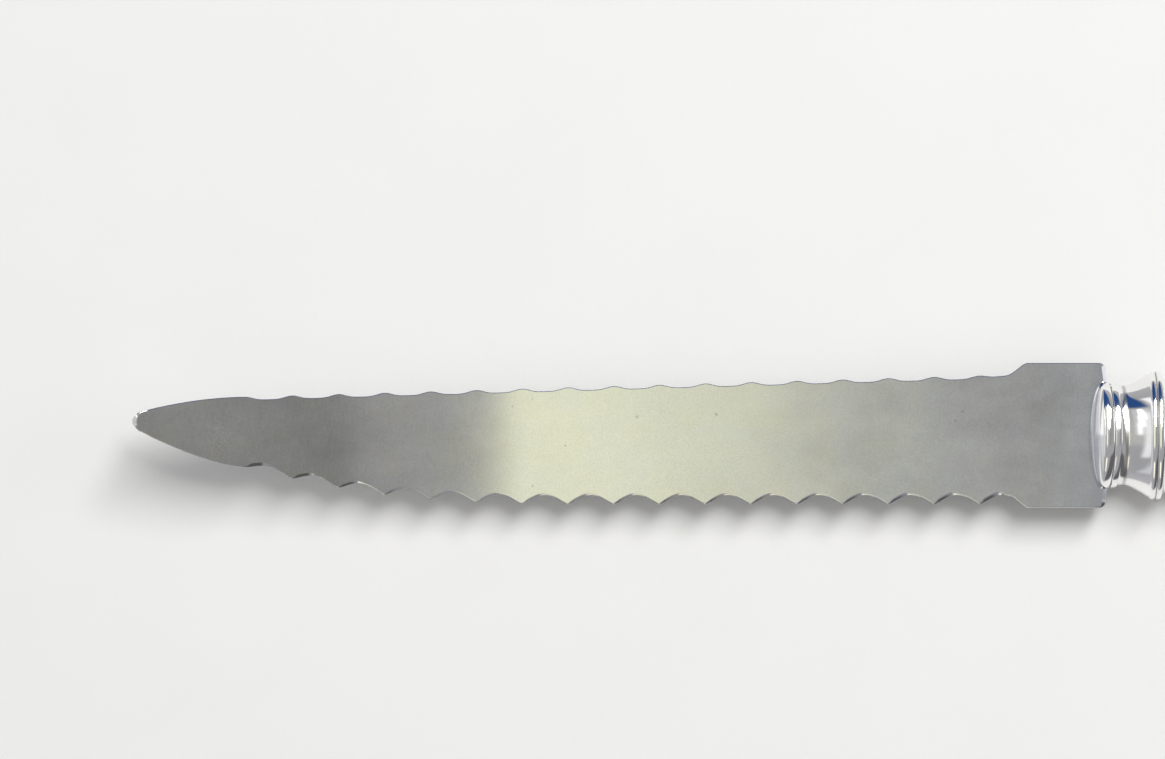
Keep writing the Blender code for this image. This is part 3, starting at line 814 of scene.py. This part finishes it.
def steel_material(place_of_axis):
    """Satin stainless steel: fine grain, soft mottling, faint polishing marks near the tip, small pits."""
    material, tree, shader, place = new_material("satin_steel")
    along, across, _ = add_node(tree, "ShaderNodeSeparateXYZ", {0: place}).outputs
    tipwards = rescale(tree, along, *STEEL_FRONT)
    handlewards = rescale(tree, along, *STEEL_BACK)
    lines = grain(tree, place, STEEL_LINES, 4.0)
    clouds = grain(tree, place, STEEL_CLOUDS, 3.0)
    mottle = grain(tree, place, STEEL_MOTTLE, 4.0)
    speckle = grain(tree, place, STEEL_SPECKLE, 3.0)
    tints = grain(tree, place, STEEL_TINTS, 2.0)

    tone = times(tree, minus(tree, lines, NOISE_MIDDLE), times(tree, tipwards, LINES_TONE))
    for noise, weight in ((clouds, CLOUDS_TONE), (speckle, SPECKLE_TONE)):
        tone = plus(tree, tone, rescale(tree, noise, 0.0, 1.0, -weight / 2, weight / 2, smooth=False))
    tone = plus(tree, tone, swirl_marks(tree, place, place_of_axis))
    # Painted shade: the tone is darkened over the blade's back part.
    tone = minus(tree, tone, times(tree, handlewards, BACK_PAINTED_SHADE))
    ends = calculate(tree, "MAXIMUM", tipwards, handlewards)
    mottle_weight = rescale(tree, ends, 0.0, 1.0, *MOTTLE_TONE, smooth=False)
    tone = plus(tree, tone, times(tree, minus(tree, mottle, NOISE_MIDDLE), mottle_weight))
    # Painted shade: the back part darkens further towards its +Y edge.
    tone = minus(tree, tone, times(tree, times(tree, across, handlewards), BACK_PAINTED_SHADE_SLANT))
    shade = rescale(tree, tone, -TONE_REACH, TONE_REACH, smooth=False)

    warmth = rescale(tree, tints, *NOISE_RANGE, *STEEL_WARMTH)
    warmth = minus(tree, warmth, times(tree, handlewards, BACK_COOLING))
    colour = blend(tree, warmth, blend(tree, shade, *COOL_STEEL), blend(tree, shade, *WARM_STEEL))
    # Painted reflection: the steel is tinted bluish next to the handle, with a ragged edge.
    ragged = plus(tree, along, times(tree, clouds, BLUE_RAGGEDNESS))
    painted_blue_reflection = rescale(tree, ragged, *BLUE_START, 0.0, BLUE_SHARE)
    colour = blend(tree, painted_blue_reflection, colour, blend(tree, shade, *PAINTED_BLUE_REFLECTION_STEEL))
    colour = pitted(tree, place, place_of_axis, speckle, colour)
    tree.links.new(colour, shader.inputs["Base Color"])

    rough = plus(tree, times(tree, lines, LINES_ROUGHNESS), times(tree, clouds, CLOUDS_ROUGHNESS))
    tree.links.new(plus(tree, rough, STEEL_ROUGHNESS), shader.inputs["Roughness"])
    shader.inputs["Metallic"].default_value = 1.0
    relief = plus(tree, times(tree, lines, tipwards), speckle)
    set_bump(tree, shader, relief, STEEL_BUMP, STEEL_BUMP_DEPTH)
    return material


def pitted(tree, place, place_of_axis, speckle, colour):
    """The steel's colour with its pits, ragged at their edges."""
    for x, y, radius in PITS:
        centre = (place_of_axis.x + x, place_of_axis.y + y, place_of_axis.z + BLADE_THICKNESS / 2)
        gap = add_node(tree, "ShaderNodeVectorMath", {0: place, 1: centre}, operation="DISTANCE")
        ragged = plus(tree, gap.outputs["Value"], times(tree, speckle, PIT_RAGGEDNESS * radius))
        dark = rescale(tree, ragged, PIT_INNER * radius, PIT_OUTER * radius, PIT_DARKNESS, 0.0)
        colour = blend(tree, dark, colour, PIT_COLOUR)
    return colour


def swirl_marks(tree, place, place_of_axis):
    """Faint curved polishing marks, about -0.2 to 0.2, fading to 0 away from them."""
    centre = (place_of_axis.x + SWIRL_X, place_of_axis.y + SWIRL_Y, 0.0)
    offset = add_node(tree, "ShaderNodeVectorMath", {0: place, 1: centre}, operation="SUBTRACT").outputs[0]
    x, y, _ = add_node(tree, "ShaderNodeSeparateXYZ", {0: offset}).outputs
    flat = add_node(tree, "ShaderNodeCombineXYZ", {0: x, 1: y}).outputs[0]
    reach = add_node(tree, "ShaderNodeVectorMath", {0: flat}, operation="LENGTH").outputs["Value"]
    turn = calculate(tree, "ARCTAN2", y, times(tree, x, -1.0))
    polar = add_node(tree, "ShaderNodeCombineXYZ", {0: reach, 1: turn}).outputs[0]
    arcs = minus(tree, grain(tree, polar, SWIRL_GRAIN, 3.0), NOISE_MIDDLE)
    near = rescale(tree, reach, *SWIRL_FADE, 1.0, 0.0)
    return times(tree, times(tree, arcs, near), rescale(tree, x, *SWIRL_SIDE))


# Silver: its layers of noise, in features per metre along X, Y and Z, and what they do.
SILVER_HAZE = (320.0, 320.0, 320.0)
LONG_SCRATCHES = (500.0, 9000.0, 9000.0)
CROSS_SCRATCHES = (8000.0, 600.0, 600.0)
SCRATCH_RANGE = (0.66, 0.8)
SCRATCH_SHARE = 0.35
SCRATCH_COLOUR = (0.78, 0.78, 0.78, 1)
CLEAN_RANGE = (0.35, 0.65)
CLEAN_SILVER = ((0.90, 0.895, 0.885, 1), (0.96, 0.955, 0.945, 1))
TARNISH_RANGE = (0.3, 0.65)
TARNISH_SHARE = (0.55, 1.0)
TARNISH_COLOUR = (0.22, 0.20, 0.17, 1)
SILVER_ROUGHNESS = 0.06
SCRATCH_ROUGHNESS = 0.10
HAZE_ROUGHNESS = 0.06
TARNISH_ROUGHNESS = 0.25
SILVER_BUMP = 0.2
SILVER_BUMP_DEPTH = 0.02 * MM


def silver_material():
    """Polished silver: hairline scratches from use, a faint haze, and tarnish left in the grooves."""
    material, tree, shader, place = new_material("polished_silver")
    depth = add_node(tree, "ShaderNodeAttribute", attribute_name="recess").outputs["Fac"]
    haze = grain(tree, place, SILVER_HAZE, 4.0)
    long_scratches = grain(tree, place, LONG_SCRATCHES, 2.0)
    cross_scratches = grain(tree, place, CROSS_SCRATCHES, 2.0)
    deepest = calculate(tree, "MAXIMUM", long_scratches, cross_scratches)
    scratches = rescale(tree, deepest, *SCRATCH_RANGE)
    tarnish = times(tree, depth, rescale(tree, haze, *TARNISH_RANGE, *TARNISH_SHARE))
    clean = blend(tree, rescale(tree, haze, *CLEAN_RANGE), *CLEAN_SILVER)
    scuffed = blend(tree, times(tree, scratches, SCRATCH_SHARE), clean, SCRATCH_COLOUR)
    tree.links.new(blend(tree, tarnish, scuffed, TARNISH_COLOUR), shader.inputs["Base Color"])
    rough = plus(tree, times(tree, scratches, SCRATCH_ROUGHNESS), times(tree, haze, HAZE_ROUGHNESS))
    rough = plus(tree, rough, times(tree, tarnish, TARNISH_ROUGHNESS))
    tree.links.new(plus(tree, rough, SILVER_ROUGHNESS), shader.inputs["Roughness"])
    shader.inputs["Metallic"].default_value = 1.0
    set_bump(tree, shader, haze, SILVER_BUMP, SILVER_BUMP_DEPTH)
    return material


# Solder, cement and table: features per metre, the noise's range that changes the colour, colours, the rest.
SOLDER_GRAIN = (2500.0, 2500.0, 2500.0)
SOLDER_RANGE = (0.35, 0.65)
SOLDER_COLOURS = ((0.50, 0.49, 0.46, 1), (0.70, 0.69, 0.66, 1))
SOLDER_ROUGHNESS = (0.2, 0.4)
SOLDER_BUMP = (0.3, 0.004 * MM)
CEMENT_GRAIN = (1600.0, 1600.0, 1600.0)
CEMENT_RANGE = (0.45, 0.7)
CEMENT_COLOURS = ((0.13, 0.09, 0.065, 1), (0.27, 0.20, 0.15, 1))
CEMENT_ROUGHNESS = (0.65, 0.85)
CEMENT_BUMP = (0.5, 0.1 * MM)
TABLE_GRAIN = (60.0, 60.0, 60.0)
TABLE_COLOURS = ((0.79, 0.785, 0.775, 1), (0.82, 0.815, 0.805, 1))
TABLE_ROUGHNESS = 0.9
TABLE_SHINE = 0.1
TABLE_HALF = 4.0


def speckled_material(name, scale, limits, colours, roughness, bump, metallic):
    """A stuff with even grains, whose colour and roughness follow them."""
    material, tree, shader, place = new_material(name)
    speckle = grain(tree, place, scale, 4.0)
    colour = blend(tree, rescale(tree, speckle, *limits), *colours)
    tree.links.new(colour, shader.inputs["Base Color"])
    tree.links.new(rescale(tree, speckle, *NOISE_RANGE, *roughness), shader.inputs["Roughness"])
    shader.inputs["Metallic"].default_value = metallic
    set_bump(tree, shader, speckle, *bump)
    return material


def solder_material():
    """Silver solder filed flush: greyer than the silver, with a fine grain."""
    return speckled_material(
        "silver_solder", SOLDER_GRAIN, SOLDER_RANGE, SOLDER_COLOURS, SOLDER_ROUGHNESS, SOLDER_BUMP, 1.0
    )


def cement_material():
    """Dark resin cement with lighter grains of filler."""
    return speckled_material(
        "resin_cement", CEMENT_GRAIN, CEMENT_RANGE, CEMENT_COLOURS, CEMENT_ROUGHNESS, CEMENT_BUMP, 0.0
    )


def table_material():
    """Pale matte paper, almost even."""
    material, tree, shader, place = new_material("pale_table")
    colour = blend(tree, grain(tree, place, TABLE_GRAIN, 5.0), *TABLE_COLOURS)
    tree.links.new(colour, shader.inputs["Base Color"])
    shader.inputs["Roughness"].default_value = TABLE_ROUGHNESS
    shader.inputs["Specular IOR Level"].default_value = TABLE_SHINE
    return material


def build_table():
    """A large pale table top under the knife."""
    half = TABLE_HALF
    corners = [(-half, -half, 0), (half, -half, 0), (half, half, 0), (-half, half, 0)]
    mesh = bpy.data.meshes.new("table")
    mesh.from_pydata(corners, [], [(0, 1, 2, 3)])
    table = bpy.data.objects.new("table", mesh)
    bpy.context.scene.collection.objects.link(table)
    mesh.materials.append(table_material())


# Brightness of the ceiling by angle from straight up, in degrees towards +X: a bright panel, then dimmer.
# It is tinted where it is bright. It reaches over the given degrees backwards, with the walls beyond it.
CEILING = (
    (-60, 0.45), (-12, 0.45), (-9, 1.09), (0.2, 1.12), (0.7, 1.27), (1.1, 1.16), (1.6, 0.88), (2.1, 0.69),
    (3, 0.56), (4, 0.485), (5, 0.42), (6.5, 0.42), (9, 0.40), (12.3, 0.365), (13.0, 0.24), (17, 0.27),
    (22, 0.32), (60, 0.36),
)
CEILING_REACH = 60
CEILING_BACKWARDS = (-10, 50)
CEILING_SOFT = 8
PANEL_TINT = (1.0, 1.02, 0.79)
TINT_START = 0.40
TINT_RANGE = 0.6
WALLS = ((0.44, 0.44, 0.46, 1), (0.36, 0.36, 0.38, 1))
WALLS_FULL = 0.5

# What else the metal reflects, later ones over earlier ones: degrees sideways (from, to), degrees backwards
# (from, to), soft edge, colour.
ROOM_AREAS = (
    # A window beyond the tip, its dimmer front part, and the wall next to it.
    ((-90, -58), (-4, 60), 4, (1.05, 1.05, 1.07)),
    ((-90, -58), (-60, -4), 8, (0.60, 0.62, 0.66)),
    ((-58, -30), (3, 38), 4, (0.58, 0.58, 0.60)),
    # A pale strip for the bevel round the nose, and a bright leaning one for the handle's flare.
    ((-47, -44), (-30, 31), 6, (0.85, 0.85, 0.87)),
    ((-37, -34), (2, 16), 3, (1.1, 1.1, 1.1)),
    ((-40, -37), (14, 27), 3, (1.7, 1.7, 1.7)),
    ((-43, -40), (25, 38), 3, (2.2, 2.2, 2.2)),
    # A window beyond the butt, a blue backdrop behind, a dark corner and a lamp in front.
    ((56, 86), (-12, 40), 8, (1.3, 1.3, 1.3)),
    ((-50, 34), (45, 85), 4, (0.02, 0.07, 0.22)),
    ((26, 88), (-84, -34), 6, (0.12, 0.12, 0.13)),
    ((-12, 5), (-56, -34), 4, (1.20, 1.16, 0.98)),
)

# Soft box behind the knife: degrees sideways and backwards, distance, width, height and power.
SOFT_BOX_SIDEWAYS = math.radians(14)
SOFT_BOX_BACKWARDS = math.radians(28)
SOFT_BOX_DISTANCE = 1.0
SOFT_BOX_WIDTH = 0.26
SOFT_BOX_HEIGHT = 0.60
SOFT_BOX_POWER = 7.7


def between(tree, value, limits, soft):
    """1 inside a range of angles, 0 outside it, with soft ends."""
    entering = rescale(tree, value, limits[0] - soft, limits[0])
    leaving = rescale(tree, value, limits[1], limits[1] + soft, 1.0, 0.0)
    return times(tree, entering, leaving)


def ceiling_ramp(tree, sideways):
    """The ceiling's colour by angle."""
    ramp = add_node(tree, "ShaderNodeValToRGB")
    share = rescale(tree, sideways, -CEILING_REACH, CEILING_REACH, smooth=False)
    tree.links.new(share, ramp.inputs[0])
    stops = ramp.color_ramp.elements
    while len(stops) < len(CEILING):
        stops.new(0.5)
    for stop, (angle, level) in zip(stops, CEILING):
        stop.position = (angle + CEILING_REACH) / (2 * CEILING_REACH)
        tinted = min(1.0, max(0.0, (level - TINT_START) / TINT_RANGE))
        stop.color = (*[level * (1.0 + tinted * (tint - 1.0)) for tint in PANEL_TINT], 1)
    return ramp.outputs[0]


def build_world():
    """The room that the metal reflects."""
    world = bpy.data.worlds.new("room")
    bpy.context.scene.world = world
    world.use_nodes = True
    tree = world.node_tree
    direction = add_node(tree, "ShaderNodeTexCoord").outputs["Generated"]
    x, y, z = add_node(tree, "ShaderNodeSeparateXYZ", {0: direction}).outputs
    sideways = calculate(tree, "DEGREES", calculate(tree, "ARCTAN2", x, z))
    backwards = calculate(tree, "DEGREES", calculate(tree, "ARCTAN2", y, z))

    walls = blend(tree, rescale(tree, z, 0.0, WALLS_FULL), *WALLS)
    overhead = between(tree, backwards, CEILING_BACKWARDS, CEILING_SOFT)
    colour = blend(tree, overhead, walls, ceiling_ramp(tree, sideways))
    for side_limits, back_limits, soft, level in ROOM_AREAS:
        beside = between(tree, sideways, side_limits, soft)
        behind = between(tree, backwards, back_limits, soft)
        colour = blend(tree, times(tree, beside, behind), colour, (*level, 1))
    tree.links.new(colour, tree.nodes["Background"].inputs["Color"])


def build_soft_box():
    """The soft box that lights the table and throws the knife's shadow towards -Y."""
    light = bpy.data.lights.new("soft_box", "AREA")
    light.shape = "RECTANGLE"
    light.size = SOFT_BOX_WIDTH
    light.size_y = SOFT_BOX_HEIGHT
    light.energy = SOFT_BOX_POWER
    lamp = bpy.data.objects.new("soft_box", light)
    towards = Vector((math.tan(SOFT_BOX_SIDEWAYS), math.tan(SOFT_BOX_BACKWARDS), 1.0)).normalized()
    lamp.location = towards * SOFT_BOX_DISTANCE
    lamp.rotation_euler = (-towards).to_track_quat("-Z", "Y").to_euler()
    bpy.context.scene.collection.objects.link(lamp)


def build_camera(place):
    """Straight above the blade, framed as in the photograph, with +Y up in the picture."""
    width = IMAGE_WIDTH * PIXEL_SIZE
    data = bpy.data.cameras.new("camera")
    data.sensor_width = SENSOR_WIDTH
    data.lens = SENSOR_WIDTH * CAMERA_DISTANCE / width
    camera = bpy.data.objects.new("camera", data)
    across = (IMAGE_WIDTH / 2 - SHOULDER_PIXEL) * PIXEL_SIZE
    up = (AXIS_PIXEL - IMAGE_HEIGHT / 2) * PIXEL_SIZE
    camera.location = place + Vector((across, up, CAMERA_DISTANCE))
    bpy.context.scene.collection.objects.link(camera)
    bpy.context.scene.camera = camera


def dress(piece, material, node):
    """Gives a piece its finish, and lets it stand for a solid of the frame."""
    piece.data.materials.append(material)
    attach(piece, "root")
    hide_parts(node)


def main():
    """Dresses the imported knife, and sets the table, the room, the light and the camera."""
    for obj in list(bpy.data.objects):
        bpy.data.objects.remove(obj)
    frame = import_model()
    handle_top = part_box("handle_upper_half")[1]
    place = Vector((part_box("blade")[0].x + BLADE_LENGTH, 0.0, handle_top.z / 2))

    silver = silver_material()
    profile = cap_profile() + shell_profile()
    dress(build_blade(place), steel_material(place), "blade")
    cap = build_cap(place)
    mark_recesses(cap, profile, place)
    dress(cap, silver, "front_cap")
    halves = (("upper_shell", 1, "handle_upper_half"), ("lower_shell", -1, "handle_lower_half"))
    for name, side, node in halves:
        half = build_half(name, side, place)
        mark_recesses(half, profile, place)
        dress(half, silver, node)
    dress(build_solder(place), solder_material(), "seam_solder")
    cement = frame["nodes"]["handle_cement"]
    cement.data.materials.clear()
    cement.data.materials.append(cement_material())

    build_table()
    build_world()
    build_soft_box()
    build_camera(place)
    bpy.context.scene.view_settings.view_transform = "Standard"


main()
